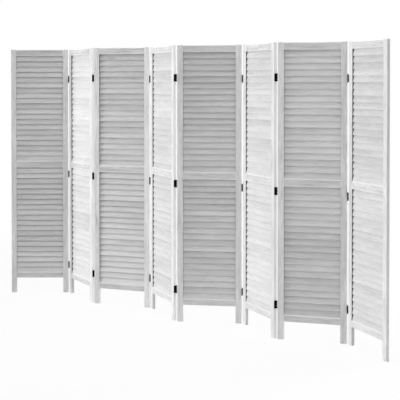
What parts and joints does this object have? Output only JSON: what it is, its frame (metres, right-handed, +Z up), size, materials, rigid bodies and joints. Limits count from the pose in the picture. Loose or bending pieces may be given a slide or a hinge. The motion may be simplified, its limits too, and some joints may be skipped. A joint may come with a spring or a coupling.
{
  "type": "louvered folding screen",
  "caption": "Free-standing wooden room divider of hinged louvered panels that opens to a zigzag and folds to a flat stack.",
  "frame": {"origin": "on the floor, under the middle of the open screen's plan outline", "axes": "+Z up; +X along the open screen from panel 1 to panel 8; -Y is the front, towards which the lower edges of the slats face"},
  "size_m": [2.955, 0.2691, 1.7],
  "materials": {
    "whitewashed_wood": "thin white paint rubbed over open grain, matt",
    "black_steel": "black, satin"
  },
  "bodies": {
    "panel_1": {"panel_1_left_stile": "whitewashed_wood", "panel_1_right_stile": "whitewashed_wood", "panel_1_rails": "whitewashed_wood", "panel_1_slats": "whitewashed_wood", "panel_1_hinge_leaves": "black_steel", "panel_1_screws": "black_steel", "panel_1_hinge_pins": "black_steel"},
    "panel_2": {"panel_2_left_stile": "whitewashed_wood", "panel_2_right_stile": "whitewashed_wood", "panel_2_rails": "whitewashed_wood", "panel_2_slats": "whitewashed_wood", "panel_2_hinge_leaves": "black_steel", "panel_2_screws": "black_steel", "panel_2_hinge_pins": "black_steel"},
    "panel_3": {"panel_3_left_stile": "whitewashed_wood", "panel_3_right_stile": "whitewashed_wood", "panel_3_rails": "whitewashed_wood", "panel_3_slats": "whitewashed_wood", "panel_3_hinge_leaves": "black_steel", "panel_3_screws": "black_steel", "panel_3_hinge_pins": "black_steel"},
    "panel_4": {"panel_4_left_stile": "whitewashed_wood", "panel_4_right_stile": "whitewashed_wood", "panel_4_rails": "whitewashed_wood", "panel_4_slats": "whitewashed_wood", "panel_4_hinge_leaves": "black_steel", "panel_4_screws": "black_steel", "panel_4_hinge_pins": "black_steel"},
    "panel_5": {"panel_5_left_stile": "whitewashed_wood", "panel_5_right_stile": "whitewashed_wood", "panel_5_rails": "whitewashed_wood", "panel_5_slats": "whitewashed_wood", "panel_5_hinge_leaves": "black_steel", "panel_5_screws": "black_steel", "panel_5_hinge_pins": "black_steel"},
    "panel_6": {"panel_6_left_stile": "whitewashed_wood", "panel_6_right_stile": "whitewashed_wood", "panel_6_rails": "whitewashed_wood", "panel_6_slats": "whitewashed_wood", "panel_6_hinge_leaves": "black_steel", "panel_6_screws": "black_steel", "panel_6_hinge_pins": "black_steel"},
    "panel_7": {"panel_7_left_stile": "whitewashed_wood", "panel_7_right_stile": "whitewashed_wood", "panel_7_rails": "whitewashed_wood", "panel_7_slats": "whitewashed_wood", "panel_7_hinge_leaves": "black_steel", "panel_7_screws": "black_steel", "panel_7_hinge_pins": "black_steel"},
    "panel_8": {"panel_8_left_stile": "whitewashed_wood", "panel_8_right_stile": "whitewashed_wood", "panel_8_rails": "whitewashed_wood", "panel_8_slats": "whitewashed_wood", "panel_8_hinge_leaves": "black_steel", "panel_8_screws": "black_steel"}
  },
  "joints": [
    {"name": "fold_1", "type": "hinge", "parent": "panel_1", "child": "panel_2", "pos_m": [-1.15178, 0.11583, 0.848], "axis": [0, 0, -1], "range_deg": [-61.5, 118.5]},
    {"name": "fold_2", "type": "hinge", "parent": "panel_2", "child": "panel_3", "pos_m": [-0.76707, -0.01576, 0.848], "axis": [0, 0, 1], "range_deg": [-40.5, 139.5]},
    {"name": "fold_3", "type": "hinge", "parent": "panel_3", "child": "panel_4", "pos_m": [-0.37334, 0.08572, 0.848], "axis": [0, 0, -1], "range_deg": [-46, 134]},
    {"name": "fold_4", "type": "hinge", "parent": "panel_4", "child": "panel_5", "pos_m": [-0.00302, -0.08215, 0.848], "axis": [0, 0, 1], "range_deg": [-58, 122]},
    {"name": "fold_5", "type": "hinge", "parent": "panel_5", "child": "panel_6", "pos_m": [0.36101, 0.09898, 0.848], "axis": [0, 0, -1], "range_deg": [-57.5, 122.5]},
    {"name": "fold_6", "type": "hinge", "parent": "panel_6", "child": "panel_7", "pos_m": [0.73278, -0.06565, 0.848], "axis": [0, 0, 1], "range_deg": [-49.5, 130.5]},
    {"name": "fold_7", "type": "hinge", "parent": "panel_7", "child": "panel_8", "pos_m": [1.11847, 0.06305, 0.848], "axis": [0, 0, -1], "range_deg": [-52, 128]}
  ]
}
